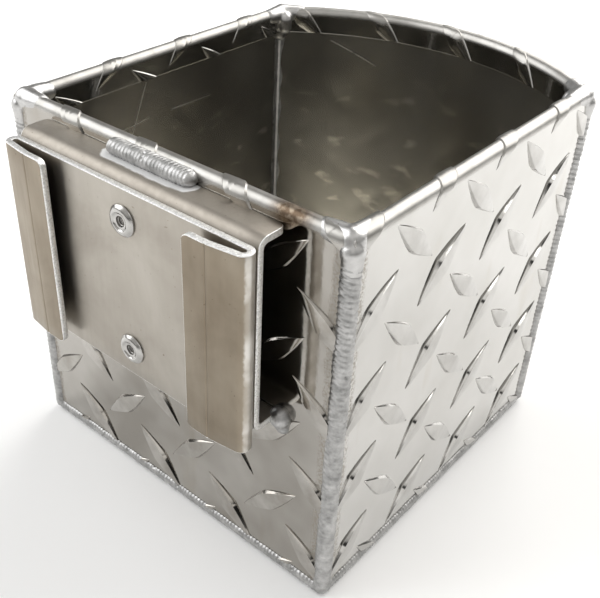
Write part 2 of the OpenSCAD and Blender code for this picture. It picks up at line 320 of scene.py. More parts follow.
def lug_half_width(s):
    """Half width of a lug at share s of its half length: nearly a rhombus, with soft middle corners."""
    soft = 0.07
    lean = 1.06 * (1 - math.sqrt(s**2 + soft**2) + soft) - 0.06
    return LUG_W / 2 * max(0.66 * lean + 0.34 * (1 - s**2), 0.02)


def lug_height(s, depth, half, crown):
    """Height of a lug at share s of its half length and depth inside its outline: steep flanks, low crown."""
    ridge = LUG_H * (1 - RIDGE_FALL * math.sqrt(s**2 + 0.0009)) * (1 - abs(s) ** 14)
    top = ridge * (1 - crown * (1 - depth / half) ** 2)
    flank = FLANK_SLOPE * depth
    blend = 0.05
    gap = np.clip((top - flank) / (2 * blend) + 0.5, 0, 1)
    return np.maximum(top * (1 - gap) + flank * gap - blend * gap * (1 - gap), 0)


def lug_strip(crown):
    """One lug on the flat sheet as rings of (along, across, height), and its two tips."""
    stations = 57
    rings = []
    for s in np.linspace(-1, 1, stations)[1:-1]:
        x = s * LUG_LEN / 2
        half = lug_half_width(s)
        brink = min(LUG_H * (1 - RIDGE_FALL * abs(s)) / FLANK_SLOPE, 0.8 * half)
        depth = [0, 0.5 * brink, 0.93 * brink, min(1.07 * brink, 0.9 * half), 0.5 * (brink + half), half]
        depth = np.sort(np.array(depth))
        place = np.concatenate([half - depth, (depth - half)[::-1][1:]])
        height = lug_height(s, np.concatenate([depth, depth[::-1][1:]]), half, crown)
        top = np.stack([np.full(len(place), x), place, height], -1)[::-1]
        sunk = 0.35
        foot = np.array([[x, half, -sunk], [x, -half, -sunk]])
        rings.append(np.concatenate([top, foot]))
    tips = np.array([[-LUG_LEN / 2, 0, -0.1], [LUG_LEN / 2, 0, -0.1]])
    return np.array(rings), tips


def lug_mesh(places, length, top, seed, crown):
    """All lugs of a sheet in its flat state, each a little different, cut off at the sheet's ends and edges."""
    rings, tips = lug_strip(crown)
    count, around = rings.shape[:2]
    bm = bmesh.new()
    rng = np.random.default_rng(seed)
    for u, v, lean in places:
        spin = lean + rng.normal(0, 0.012)
        size = 1 + rng.normal(0, 0.02)
        tall = 1 + rng.normal(0, 0.05)
        turn = np.array([[math.cos(spin), -math.sin(spin)], [math.sin(spin), math.cos(spin)]])
        flat = rings.reshape(-1, 3).copy()
        ends = tips.copy()
        for part in (flat, ends):
            part[:, :2] = part[:, :2] @ turn.T * size + (u, v)
            part[:, 2] = np.where(part[:, 2] > 0, part[:, 2] * min(tall, 1.0), part[:, 2])
        verts = [bm.verts.new(p) for p in flat]
        first, last = bm.verts.new(ends[0]), bm.verts.new(ends[1])
        for face in ring_quads(count, around, flip=True):
            bm.faces.new([verts[k] for k in face])
        for k in range(around):
            nxt = (k + 1) % around
            bm.faces.new([first, verts[k], verts[nxt]])
            bm.faces.new([last, verts[(count - 1) * around + nxt], verts[(count - 1) * around + k]])
    gap = 2.6
    slant = 3.1 / (math.pi * FOLD_R)
    cuts = [
        ((gap, 0, 0), (-1, 0, 0)),
        ((length - gap, 0, 0), (1, 0, 0)),
        ((gap, FOLD_Z, 0), (-1, slant, 0)),
        ((length - gap, FOLD_Z, 0), (1, slant, 0)),
        ((0, LUG_H + 1.2, 0), (0, -1, 0)),
        ((0, top - 0.3, 0), (0, 1, 0)),
    ]
    for place, normal in cuts:
        parts = bm.verts[:] + bm.edges[:] + bm.faces[:]
        plane = {"plane_co": place, "plane_no": normal}
        cut = bmesh.ops.bisect_plane(bm, geom=parts, dist=1e-5, clear_outer=True, **plane)
        edges = [e for e in cut["geom_cut"] if isinstance(e, bmesh.types.BMEdge)]
        bmesh.ops.holes_fill(bm, edges=edges)
    bm.verts.index_update()
    points = np.array([v.co for v in bm.verts]).reshape(-1, 3)
    faces = [[v.index for v in f.verts] for f in bm.faces]
    bm.free()
    return points, faces


def wall_piece(node, wall, first, seed, skins, crown=LOW_CROWN):
    """A folded wall with its lugs, as one mesh; over the fold's crest the lugs are crushed."""
    places = list(lug_places(first, wall.length, 0, SHEET_TOP))
    points, faces, slots = sheet_mesh(wall, seed, places)
    lugs, lug_faces = lug_mesh(places, wall.length, SHEET_TOP, seed, crown)
    quarter_fold = math.pi * FOLD_R / 2
    crest = np.clip(1 - np.abs(lugs[:, 1] - FOLD_Z - quarter_fold) / quarter_fold, 0, 1)
    crushed = 0.66
    lift = np.where(lugs[:, 2] > 0, lugs[:, 2] * (1 - crushed * crest), lugs[:, 2])
    placed = wall.surface(lugs[:, 0], lugs[:, 1], lift)
    start = len(points)
    points = np.concatenate([points, placed])
    faces = faces + [[k + start for k in f] for f in lug_faces]
    slots = slots + [2] * len(lug_faces)
    piece = make_object(node + "_sheet", points, faces, skins, slots, sharp=24)
    install(piece, node)


def floor_piece():
    """The bottom plate, lugs down, cut to fit between the walls."""
    low_z, top_z = LUG_H, LUG_H + SHEET_T
    side_x, bow_r = HALF_W - SHEET_T, BOW_R - SHEET_T
    outline = [(-side_x, FRONT_Y + SHEET_T), (side_x, FRONT_Y + SHEET_T)]
    reach = math.asin(side_x / bow_r)
    for turn in np.linspace(math.pi / 2 - reach, math.pi / 2 + reach, 49):
        outline.append((bow_r * math.cos(turn), BOW_MID_Y + bow_r * math.sin(turn)))
    count = len(outline)
    points = [(x, y, low_z) for x, y in outline] + [(x, y, top_z) for x, y in outline]
    faces = [list(range(count))[::-1], list(range(count, 2 * count))]
    faces += [[k, (k + 1) % count, count + (k + 1) % count, count + k] for k in range(count)]
    slots = [0, 1] + [0] * count
    width, depth = 2 * HALF_W, BOW_Y - FRONT_Y
    first = (HALF_W - 2 * PITCH_U, -FRONT_Y - 2 * PITCH_V, 1)
    margin, bow_margin, bow_bend = 10, 16, 0.006
    lugs = []
    for u, v, lean in lug_places(first, width, 0, depth):
        off_middle = u - HALF_W
        if abs(off_middle) < HALF_W - margin and margin < v < depth - bow_margin - bow_bend * off_middle**2:
            lugs.append((u, v, lean))
    lug_points, lug_faces = lug_mesh(lugs, width, depth, 9, LOW_CROWN)
    placed = np.stack([lug_points[:, 0] - HALF_W, lug_points[:, 1] + FRONT_Y, LUG_H - lug_points[:, 2]], -1)
    faces += [[k + 2 * count for k in f[::-1]] for f in lug_faces]
    slots += [0] * len(lug_faces)
    points = np.concatenate([points, placed])
    piece = make_object("floor_plate_sheet", points, faces, [tread, inner], slots, sharp=30)
    install(piece, "floor_plate")


# -------- welds


def weld_rod(name, centre_line, radius, seed, ripple, depth, flat=1.0, pits=0, skin=None):
    """A weld bead along a line of points: ripples across it, wandering width and small pinholes."""
    line = np.asarray(centre_line, float)
    travel = travelled(line)
    total = travel[-1]
    count = max(12, int(total / 0.3))
    along = np.linspace(0, total, count)
    centre = read_at(along, travel, line)
    heading = np.gradient(centre, axis=0)
    heading /= np.linalg.norm(heading, axis=1)[:, None]
    up = np.array([0, 0, 1.0]) if abs(heading[0][2]) < 0.8 else np.array([1.0, 0, 0])
    side = np.cross(heading, up)
    side /= np.linalg.norm(side, axis=1)[:, None]
    lift = np.cross(side, heading)
    turn = np.linspace(0, 2 * math.pi, 40, endpoint=False)
    a, t = np.meshgrid(along, turn, indexing="ij")
    rng = np.random.default_rng(seed)

    def uneven(parts, scale, seed):
        return wave(np.stack([part.ravel() for part in parts], -1), scale, seed).reshape(a.shape)

    wander = 0.05 * uneven((a, np.zeros(a.shape)), 11, seed)
    rough = uneven((a, 2 * np.cos(t) * radius, 2 * np.sin(t) * radius), 3.1, seed + 1)
    phase = a / ripple + 0.35 * np.cos(t - 0.9) + 0.25 * uneven((a, t), 6, seed + 2)
    crest = np.abs(phase % 1 - 0.45)
    ends = np.clip(np.minimum(a, total - a) / (radius * 0.9), 0, 1)
    taper = np.sqrt(np.clip(1 - (1 - ends) ** 2, 0.02, 1))
    r = radius * (1 + wander + 0.035 * rough) - depth * crest
    for _ in range(pits):
        place, facing = rng.uniform(0, total), rng.uniform(0, 2 * math.pi)
        gap = np.hypot(a - place, radius * (np.angle(np.exp(1j * (t - facing)))))
        pit_r, pit_depth = rng.uniform(0.22, 0.42), 0.7
        r -= pit_depth * np.exp(-((gap / pit_r) ** 2))
    r = np.minimum(r, radius) * taper
    rings = (
        centre[:, None, :]
        + side[:, None, :] * (r * np.cos(t))[..., None]
        + lift[:, None, :] * (r * np.sin(t) * flat)[..., None]
    )
    return make_object(name, rings.reshape(-1, 3), tube_faces(*rings.shape[:2]), [skin or weld])


def corner_frame(index):
    """Corner point, inward direction and half angle of one of the four corners."""
    back = index.startswith("back")
    left = index.endswith("left")
    x = -HALF_W if left else HALF_W
    y = SIDE_END if back else FRONT_Y
    half = BACK_HALF if back else math.pi / 4
    turn = -math.pi / 2 + half if back else math.pi / 4
    if not left:
        turn = -math.pi - turn if back else math.pi - turn
    return np.array([x, y]), turn, half


def corner_middle(corner, turn, half, inset):
    """The point between a corner's two walls that is inset by the same from both."""
    return corner + inset / math.sin(half) * np.array([math.cos(turn), math.sin(turn)])


def trim_inside(bead, corner, turn, half):
    """Pulls a corner bead's points back between the two sheets, so that nothing of it stands into the box."""
    inward = np.array([math.cos(turn), math.sin(turn)])
    first = np.array([-math.sin(turn - half), math.cos(turn - half)])
    second = np.array([math.sin(turn + half), -math.cos(turn + half)])
    play = 0.02
    for vertex in bead.data.vertices:
        place = np.array(vertex.co.xy) / MM - corner
        over = min(float(place @ first), float(place @ second)) - SHEET_T - play
        if over > 0:
            place -= inward * over / math.sin(half)
            vertex.co.xy = (corner + place) * MM


def corner_bead(index, seed):
    """The wide bead outside a corner, and the thin pale seam that shows inside it."""
    where = corner_frame(index)
    middle = corner_middle(*where, BEAD_INSET)
    root = corner_middle(*where, SHEET_T + 0.05)
    line = [(middle[0], middle[1], z) for z in np.linspace(0.2, FOLD_Z - 0.5, 60)]
    bead = weld_rod("corner_bead_" + index, line, BEAD_R, seed, ripple=1.75, pits=34, depth=0.62)
    trim_inside(bead, *where)
    inside = [(root[0], root[1], z) for z in np.linspace(LUG_H + SHEET_T, RETURN_Z - 0.5, 60)]
    seam = weld_rod("corner_root_" + index, inside, 0.55, seed + 50, ripple=0.8, depth=0.12, skin=seam_skin)
    install(bead, "corner_weld_" + index)
    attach(seam, "root")


def blob(name, balls, rods, skin, seed, voxel=0.32):
    """A smooth lump melted together from balls and tapering rods that have a ball at their thin end."""
    rod_taper = 0.86
    rough = 0.1
    bm = bmesh.new()
    for centre, radius in balls:
        bmesh.ops.create_icosphere(bm, subdivisions=4, radius=radius, matrix=Matrix.Translation(centre))
    for start, end, radius in rods:
        a, b = Vector(start), Vector(end)
        spin = (b - a).to_track_quat("Z", "Y").to_matrix().to_4x4()
        place = Matrix.Translation((a + b) / 2) @ spin
        thin = radius * rod_taper
        sizes = {"radius1": radius, "radius2": thin, "depth": (b - a).length}
        bmesh.ops.create_cone(bm, cap_ends=True, segments=32, matrix=place, **sizes)
        bmesh.ops.create_icosphere(bm, subdivisions=3, radius=thin, matrix=Matrix.Translation(b))
    mesh = bpy.data.meshes.new(name + "_raw")
    bm.to_mesh(mesh)
    bm.free()
    raw = add_object(name + "_raw", mesh)
    remesh = raw.modifiers.new("melt", "REMESH")
    remesh.mode = "VOXEL"
    remesh.voxel_size = voxel
    smooth = raw.modifiers.new("smooth", "SMOOTH")
    smooth.factor = 0.5
    smooth.iterations = 14
    graph = bpy.context.evaluated_depsgraph_get()
    melted = bpy.data.meshes.new_from_object(raw.evaluated_get(graph))
    points = np.zeros(len(melted.vertices) * 3)
    melted.vertices.foreach_get("co", points)
    points = points.reshape(-1, 3)
    normals = np.array([v.normal for v in melted.vertices]).reshape(-1, 3)
    points += normals * (rough * wave(points, 4.5, seed) - rough * 0.3)[:, None]
    faces = [list(p.vertices) for p in melted.polygons]
    bpy.data.objects.remove(raw)
    bpy.data.meshes.remove(mesh)
    bpy.data.meshes.remove(melted)
    return make_object(name, points, faces, [skin])


def rim_cap(index, seed):
    """The lump that joins two rolled rims: arms along them, a tail outside and, at the back, a drape inside."""
    corner, turn, half = corner_frame(index)
    middle = corner_middle(corner, turn, half, RIM_CAP_INSET)
    centre_z, arm = FOLD_Z - 0.1, 7.4
    centre = (middle[0], middle[1], centre_z)
    rods = []
    for side in (-1, 1):
        way = turn + side * half
        end = (middle[0] + arm * math.cos(way), middle[1] + arm * math.sin(way), centre_z)
        rods.append((centre, end, 3.35))
    toe = corner_middle(corner, turn, half, BEAD_INSET)
    shoulder = (toe[0], toe[1], FOLD_Z - 2.2)
    rods.append((centre, shoulder, 3.2))
    rods.append((shoulder, (toe[0], toe[1], FOLD_Z - 8.5), 2.9))
    balls = [(centre, 3.5), (shoulder, 3.1)]
    if index.startswith("back"):
        drape = corner_middle(corner, turn, half, HEM_DEPTH + 0.9)
        brow = (drape[0], drape[1], FOLD_Z - 1.2)
        rods.append((centre, brow, 3.0))
        rods.append((brow, (drape[0], drape[1], RETURN_Z + 2.0), 2.8))
    install(blob("rim_blob_" + index, balls, rods, weld_blob, seed), "rim_cap_" + index)


def floor_beads():
    """The thin beads along the four bottom edges."""
    radius = 2.2
    inset = 1.2
    z = 2.4
    x, y0, y1 = HALF_W - inset, FRONT_Y + inset, SIDE_END - inset
    lines = {
        "front": [(-x, y0, z), (x, y0, z)],
        "left": [(-x, y0, z), (-x, y1, z)],
        "right": [(x, y0, z), (x, y1, z)],
    }
    r = BOW_R - inset
    lines["back"] = [
        (r * math.cos(a), BOW_MID_Y + r * math.sin(a), z)
        for a in np.linspace(math.pi / 2 - BOW_HALF, math.pi / 2 + BOW_HALF, 60)
    ]
    for k, (side, line) in enumerate(lines.items()):
        bead = weld_rod("floor_bead_" + side, line, radius, 70 + k, ripple=1.3, pits=60, depth=0.5)
        install(bead, "floor_weld_" + side)


def top_weld():
    """The short fat bead between the channel and the rim."""
    x0, x1 = span("channel_top_weld", "x")
    y = FRONT_Y - 1.35
    z = RIM_Z - 2.5
    line = [(x, y, z) for x in np.linspace(x0 + 0.2, x1 - 0.2, 40)]
    bead = weld_rod("channel_top_bead", line, 2.95, 81, ripple=1.3, pits=7, flat=0.86, depth=0.75)
    install(bead, "channel_top_weld")


def tack(side, seed):
    """The drop of weld under one end of the channel's lower flange."""
    node = "channel_tack_" + side
    lo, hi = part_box(node)
    middle = ((lo + hi) / 2) / MM
    radius = (hi.z - lo.z) / MM / 2
    centre = (middle.x, FRONT_Y - 0.4, middle.z)
    balls = [(centre, radius * 1.02)]
    rods = [(centre, (middle.x + 0.6, FRONT_Y + 0.3, middle.z - radius * 0.9), radius * 0.92)]
    install(blob("tack_blob_" + side, balls, rods, weld, seed, voxel=0.25), node)


# -------- bent plain sheet


def turtle(start, heading, moves):
    """A path as (points, normals, travel) from moves, each a length or an arc of (radius, angle)."""
    place, turn = np.array(start, float), heading
    points, normals, travel = [place], [np.array([-math.sin(turn), math.cos(turn)])], [0.0]
    for move in moves:
        if isinstance(move, tuple):
            radius, angle = move
            count = max(4, int(abs(angle) / math.radians(8)))
            part = angle / count
            step, chord = radius * abs(part), 2 * radius * math.sin(abs(part) / 2)
        else:
            count = max(2, int(move / 1.5))
            part = 0.0
            step = chord = move / count
        for _ in range(count):
            place = place + chord * np.array([math.cos(turn + part / 2), math.sin(turn + part / 2)])
            turn += part
            points.append(place)
            normals.append(np.array([-math.sin(turn), math.cos(turn)]))
            travel.append(travel[-1] + step)
    return np.array(points), np.array(normals), np.array(travel)


def bent_sheet(name, path, lows, highs, to_space, seed, skin, creases=()):
    """A bent sheet with bevelled cut edges: lows and highs are its side limits at each station of the path."""
    points, normals, travel = path
    total = travel[-1]
    half, bevel = BRACKET_T / 2, CUT_BEVEL
    first, last = bevel, total - bevel
    around_crease = (-0.6, -0.3, -0.15, 0.0, 0.15, 0.3, 0.6)
    near = np.array([place + gap for place in creases for gap in around_crease])
    middle = np.unique(np.round(np.concatenate([travel, near]), 3))
    middle = middle[(middle > first + 0.05) & (middle < last - 0.05)]
    stations = np.concatenate([[0, 0.35 * bevel, first], middle, [last, total - 0.35 * bevel, total]])
    shrink = np.concatenate([[bevel, 0.35 * bevel, 0], np.zeros(len(middle)), [0, 0.35 * bevel, bevel]])
    groove = sum((np.exp(-(((stations - place) / 0.2) ** 2)) for place in creases), np.zeros(len(stations)))
    centre = read_at(stations, travel, points)
    normal = read_at(stations, travel, normals)
    normal /= np.linalg.norm(normal, axis=1)[:, None]
    low_at, high_at = np.interp(stations, travel, lows), np.interp(stations, travel, highs)
    inner_rows = 14
    rings = []
    for k in range(len(stations)):
        lo, hi, t = low_at[k] + shrink[k], high_at[k] - shrink[k], half - shrink[k]
        b = min(bevel, t)
        rows = np.linspace(lo + b, hi - b, inner_rows)
        ring = [(z, t) for z in rows]
        ring += [(hi - 0.3 * b, t - 0.3 * b), (hi, t - b), (hi, b - t), (hi - 0.3 * b, 0.3 * b - t)]
        ring += [(z, 0.25 * groove[k] - t) for z in rows[::-1]]
        ring += [(lo + 0.3 * b, 0.3 * b - t), (lo, b - t), (lo, t - b), (lo + 0.3 * b, t - 0.3 * b)]
        ring = np.array(ring)
        flat = centre[k] + ring[:, 1:2] * normal[k]
        rings.append(to_space(flat[:, 0], flat[:, 1], ring[:, 0]))
    rings = np.array(rings)
    around, bands = rings.shape[1], len(rings) - 1
    cut = set(range(inner_rows - 1, inner_rows + 4)) | set(range(2 * inner_rows + 3, around))
    slots = [int(k in cut or not 2 <= band < bands - 2) for band in range(bands) for k in range(around)]
    slots += [1, 1]
    mesh_points = rings.reshape(-1, 3)
    mesh_points = mesh_points + 0.05 * np.stack([wave(mesh_points, 60, seed + k) for k in range(3)], -1)
    return make_object(name, mesh_points, tube_faces(bands + 1, around), [skin, cut_edge], slots, sharp=40)


def rounded_ends(travel, value, corner, sign):
    """Side limit along the path, pulled in over the last few millimetres to round the corners."""
    total = travel[-1]
    gap = np.minimum(travel, total - travel)
    near = np.clip(1 - gap / corner, 0, 1)
    return value + sign * corner * (1 - np.sqrt(np.clip(1 - near**2, 0, 1)))


def channel():
    """The stand-off channel: web and two flanges that meet the wall."""
    x0, x1 = span("mount_channel", "x")
    z0, z1 = span("mount_channel", "z")
    web_y = low("mount_channel", "y")
    half = BRACKET_T / 2
    bend = CHANNEL_BEND_R - half
    gap = 0.1
    flange = FRONT_Y - gap - web_y - CHANNEL_BEND_R
    quarter = math.pi / 2
    moves = [flange, (bend, -quarter), z1 - z0 - 2 * CHANNEL_BEND_R, (bend, -quarter), flange]
    # the path runs in (y, z): out along the lower flange, up the web and back along the upper one
    points, normals, travel = turtle((FRONT_Y - gap, z0 + half), math.pi, moves)
    fine = np.linspace(0, travel[-1], 160)
    path = (read_at(fine, travel, points), read_at(fine, travel, normals), fine)
    corner = 2.2
    lows = rounded_ends(fine, x0, corner, 1)
    highs = rounded_ends(fine, x1, corner, -1)

    def to_space(y, z, x):
        return np.stack([x, y, z], -1)

    piece = bent_sheet("stand_off_channel", path, lows, highs, to_space, 31, channel_mill)
    install(piece, "mount_channel")


def clip():
    """The clip plate: flat middle, two half rolls, legs and flared lips."""
    z0, z1 = span("clip_plate", "z")
    back_y = high("clip_plate", "y")
    half = BRACKET_T / 2
    inner_r, leg, lip = 0.85, 9.0, 7.5
    leg_angle, lip_angle = math.radians(8), math.radians(16)
    roll = inner_r + half
    roll_x = CLIP_HALF_W - inner_r - BRACKET_T
    sweep = math.pi - leg_angle
    # the path runs in (x, -y) from the left lip to the right one, and its left end mirrors its right one
    fold = (3.0, lip_angle - leg_angle)
    moves = [2 * roll_x, (roll, sweep), leg, fold, lip]
    middle_y = -(back_y - half)
    right_points, right_normals, _ = turtle((BRACKET_X - roll_x, middle_y), 0.0, moves)
    count = len(turtle((0, 0), 0.0, moves[:1])[0]) - 1
    mirror = np.array([-1.0, 1.0])
    left_points = (right_points[count:] - (BRACKET_X, 0)) * mirror + (BRACKET_X, 0)
    left_normals = right_normals[count:] * mirror
    points = np.concatenate([left_points[::-1], right_points[1:]])
    normals = np.concatenate([left_normals[::-1], right_normals[1:]])
    travel = travelled(points)
    near_end = np.linspace(0, 4, 14)
    fine = np.unique(np.concatenate([travel, near_end, travel[-1] - near_end]))
    path = (read_at(fine, travel, points), read_at(fine, travel, normals), fine)
    corner = 2.4
    lows = rounded_ends(fine, z0, corner, 1)
    highs = rounded_ends(fine, z1, corner, -1)
    crease = lip + fold[0] * fold[1] / 2
    creases = (crease, fine[-1] - crease)

    def to_space(x, y, z):
        return np.stack([x, -y, z], -1)

    piece = bent_sheet("clip_sheet", path, lows, highs, to_space, 41, clip_mill, creases)
    install(piece, "clip_plate")


# -------- rivets


def lathe(name, profile, centre, material):
    """A solid turned about an axis that runs towards -Y from the clip's face; profile is (out, radius)."""
    segments = 72
    turn = np.linspace(0, 2 * math.pi, segments, endpoint=False)
    rings = []
    for out, radius in profile:
        radius = max(radius, 0.004)
        x, z = centre[0] + radius * np.cos(turn), centre[2] + radius * np.sin(turn)
        rings.append(np.stack([x, np.full(segments, centre[1] - out), z], -1))
    points = np.array(rings).reshape(-1, 3)
    return make_object(name, points, tube_faces(len(rings), segments), [material], sharp=28)


def rivets():
    """Two blind rivets: a ring-shaped head with a broken stem inside, and a bulb behind the channel."""
    for level in ("upper", "lower"):
        lo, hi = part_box("rivet_body_" + level)
        centre = ((lo + hi) / 2) / MM
        head_r = (hi.x - lo.x) / MM / 2
        place = (centre.x, CLIP_FACE_Y, centre.z)
        tall = CLIP_FACE_Y - lo.y / MM
        inner, body_r, stem_r, grip, bulb = 1.45, 2.4, 1.42, 2 * BRACKET_T, 3.4
        tail = -grip - bulb
        # from the clip's face over the head's shoulder and crest, and down its hole
        head = [(0, body_r), (0, head_r - 0.2), (0.1, head_r - 0.03), (0.28, head_r), (0.5, head_r - 0.08)]
        head += [(0.95, head_r - 0.62), (1.25, head_r - 1.05), (tall - 0.08, head_r - 1.45)]
        head += [(tall, head_r - 1.7), (tall - 0.07, head_r - 1.95), (tall - 0.42, head_r - 2.3)]
        head += [(tall - 0.5, head_r - 2.55), (tall - 0.4, inner + 0.75), (tall - 0.4, inner + 0.35)]
        head += [(tall - 0.5, inner + 0.15), (0.3, inner + 0.08), (0.2, inner)]
        shaft = [(tail, inner), (tail, 2.6), (tail + 0.5, 3.1), (-grip - bulb / 2, 3.5)]
        shaft += [(-grip - 0.4, 3.2), (-grip, 2.9), (-grip, body_r)]
        profile = shaft + head + [(tail + 0.01, inner)]
        body = lathe("rivet_head_" + level, profile, place, rivet)
        install(body, "rivet_body_" + level)
        top = tall - 1.15
        stem = [(tail - 1.6, 0.0), (tail - 1.6, 1.8), (tail - 1.2, 2.2), (tail, 2.2), (tail, stem_r)]
        stem += [(0, stem_r), (0.2, 1.15), (top - 0.3, 1.1), (top, 0.75), (top - 0.25, 0.35), (top - 0.12, 0.0)]
        pin = lathe("rivet_stem_" + level, stem, place, steel)
        install(pin, "rivet_mandrel_" + level)


# -------- materials


def grey(level):
    return (level, level, level)


class Nodes:
    """Short names for building a node tree; most methods add nodes and give the socket that they end in."""

    def __init__(self, tree, coordinates):
        self.tree = tree
        self.place = self.add("TexCoord").outputs[coordinates]

    def add(self, kind):
        return self.tree.nodes.new("ShaderNode" + kind)

    def put(self, value, socket):
        """Sets a socket to a number, colour or vector, or links another socket to it."""
        if isinstance(value, bpy.types.NodeSocket):
            self.link(value, socket)
        elif isinstance(value, tuple):
            socket.default_value = (*value, 1)
        else:
            socket.default_value = value

    def link(self, output, socket):
        self.tree.links.new(output, socket)

    def stretch(self, scale, turn=(0, 0, 0)):
        """The object's coordinates, turned and scaled."""
        mapping = self.add("Mapping")
        mapping.inputs["Scale"].default_value = scale
        mapping.inputs["Rotation"].default_value = [math.radians(a) for a in turn]
        self.link(self.place, mapping.inputs["Vector"])
        return mapping.outputs["Vector"]

    def noise(self, scale, detail=4.0, rough=0.55, vector=None, distort=0.0):
        made = self.add("TexNoise")
        made.inputs["Scale"].default_value = scale
        made.inputs["Detail"].default_value = detail
        made.inputs["Roughness"].default_value = rough
        made.inputs["Distortion"].default_value = distort
        self.link(vector or self.place, made.inputs["Vector"])
        return made.outputs["Fac"]

    def axis(self, name):
        """One of the coordinates."""
        split = self.add("SeparateXYZ")
        self.link(self.place, split.inputs[0])
        return split.outputs[name]

    def height(self):
        """Share of the rim's height."""
        return self.math("DIVIDE", self.axis("Z"), RIM_Z * MM)

    def rim(self):
        """1 on the rolled top of the rim and 0 below it."""
        return self.ramp(self.height(), [((FOLD_Z - 0.6) / RIM_Z, 0.0), ((FOLD_Z + 0.4) / RIM_Z, 1.0)])

    def near(self, point, full, none):
        """1 within one distance of a point and 0 beyond another, in millimetres."""
        away = self.vector("DISTANCE", self.place, Vector(point) * MM, "Value")
        return self.ramp(self.math("DIVIDE", away, 2 * none * MM), [(full / (2 * none), 1.0), (0.5, 0.0)])

    def ramp(self, value, stops):
        """A colour ramp through stops of (position, grey level or colour)."""
        made = self.add("ValToRGB")
        ramp = made.color_ramp
        while len(ramp.elements) < len(stops):
            ramp.elements.new(0.5)
        for element, (at, colour) in zip(ramp.elements, stops):
            element.position = at
            element.color = (*(colour if isinstance(colour, tuple) else grey(colour)), 1)
        self.link(value, made.inputs["Fac"])
        return made.outputs["Color"]

    def between(self, value, dark, light, low=0.3, high=0.7):
        """A ramp from one colour or level to another."""
        return self.ramp(value, [(low, dark), (high, light)])

    def mottle(self, noise, *ends):
        """Noise of (scale, detail, roughness) as a ramp between two ends."""
        return self.between(self.noise(*noise), *ends)

    def math(self, kind, a, b=0.0):
        made = self.add("Math")
        made.operation = kind
        self.put(a, made.inputs[0])
        self.put(b, made.inputs[1])
        return made.outputs[0]

    def blend(self, kind, amount, a, b):
        made = self.add("Mix")
        made.data_type = "RGBA"
        made.blend_type = kind
        for value, socket in ((amount, made.inputs[0]), (a, made.inputs[6]), (b, made.inputs[7])):
            self.put(value, socket)
        return made.outputs[2]

    def line(self, start, end, width=0.22):
        """1 along a thin scratch between two points in millimetres, 0 elsewhere."""
        a, b = Vector(start) * MM, Vector(end) * MM
        run = (b - a).normalized()
        away = self.vector("SUBTRACT", self.place, a)
        along = self.vector("DOT_PRODUCT", away, run, "Value")
        scale = self.add("VectorMath")
        scale.operation = "SCALE"
        scale.inputs[0].default_value = run
        self.link(along, scale.inputs["Scale"])
        aside = self.vector("DISTANCE", away, scale.outputs["Vector"], "Value")
        thin = self.ramp(self.math("DIVIDE", aside, MM), [(0.4 * width, 1.0), (width, 0.0)])
        share = self.math("DIVIDE", along, (b - a).length)
        within = self.ramp(share, [(0.0, 0.0), (0.08, 1.0), (0.9, 1.0), (1.0, 0.0)])
        return self.math("MULTIPLY", thin, within)

    def vector(self, kind, a, b, out="Vector"):
        made = self.add("VectorMath")
        made.operation = kind
        self.put(a, made.inputs[0])
        self.put(b, made.inputs[1])
        return made.outputs[out]


class Metal(Nodes):
    """One metallic material's nodes."""

    def __init__(self, name, metallic=1.0):
        self.material = bpy.data.materials.new(name)
        self.material.use_nodes = True
        super().__init__(self.material.node_tree, "Object")
        self.shader = self.tree.nodes["Principled BSDF"]
        self.shader.inputs["Metallic"].default_value = metallic

    def finish(self, colour, rough):
        self.put(colour, self.shader.inputs["Base Color"])
        self.put(rough, self.shader.inputs["Roughness"])
        return self.material

    def bump(self, height, strength, distance=0.0003):
        """Fine relief, with its distance in metres."""
        made = self.add("Bump")
        made.inputs["Strength"].default_value = strength
        made.inputs["Distance"].default_value = distance
        self.link(height, made.inputs["Height"])
        self.link(made.outputs["Normal"], self.shader.inputs["Normal"])


def tread_material(name, dark, light):
    """Rolled tread: near mirror, softly uneven, with a dull rim and a burnt fringe beside the corner welds."""
    n = Metal(name)
    colour = n.mottle((28, 3.0, 0.6), dark, light, 0.35, 0.65)
    stains = n.mottle((60, 3.0, 0.6, n.stretch((1, 1, 0.25))), 0.0, 0.45, 0.60, 0.72)
    colour = n.blend("MULTIPLY", stains, colour, (0.80, 0.75, 0.66))
    sideways = n.math("SUBTRACT", HALF_W * MM, n.math("ABSOLUTE", n.axis("X")))
    forwards = n.math("MAXIMUM", n.math("SUBTRACT", n.axis("Y"), FRONT_Y * MM), sideways)
    fringe_w = 8.0
    wobble = n.math("MULTIPLY", n.noise(220, 4.0, 0.6), 0.3)
    ragged = n.math("ADD", n.math("DIVIDE", forwards, fringe_w * MM), wobble)
    fringe = n.ramp(ragged, [(0.76, 1.0), (0.92, 0.0)])
    sparks = n.mottle((1300, 3.0, 0.6), 0.0, 1.0, 0.47, 0.56)
    burnt = n.math("MULTIPLY", n.math("MULTIPLY", fringe, sparks), 0.75)
    colour = n.blend("MIX", burnt, colour, (0.30, 0.27, 0.23))
    rim = n.rim()
    colour = n.blend("MIX", rim, colour, n.mottle((200,), (0.34, 0.33, 0.31), (0.46, 0.45, 0.43)))
    heat = n.near((HALF_W - 19, FRONT_Y, RIM_Z), 3.5, 8.0)
    spots = n.mottle((600, 3.0, 0.6), (0.30, 0.22, 0.16), (0.66, 0.55, 0.44), 0.42, 0.6)
    colour = n.blend("MULTIPLY", heat, colour, spots)
    rough = n.mottle((45, 3.0, 0.5), 0.05, 0.11)
    rough = n.blend("MIX", n.math("MULTIPLY", fringe, 0.8), rough, grey(0.5))
    n.bump(n.blend("ADD", fringe, n.noise(300, 2.0, 0.5), sparks), 0.06, 0.0004)
    return n.finish(colour, n.blend("MIX", rim, rough, grey(0.40)))


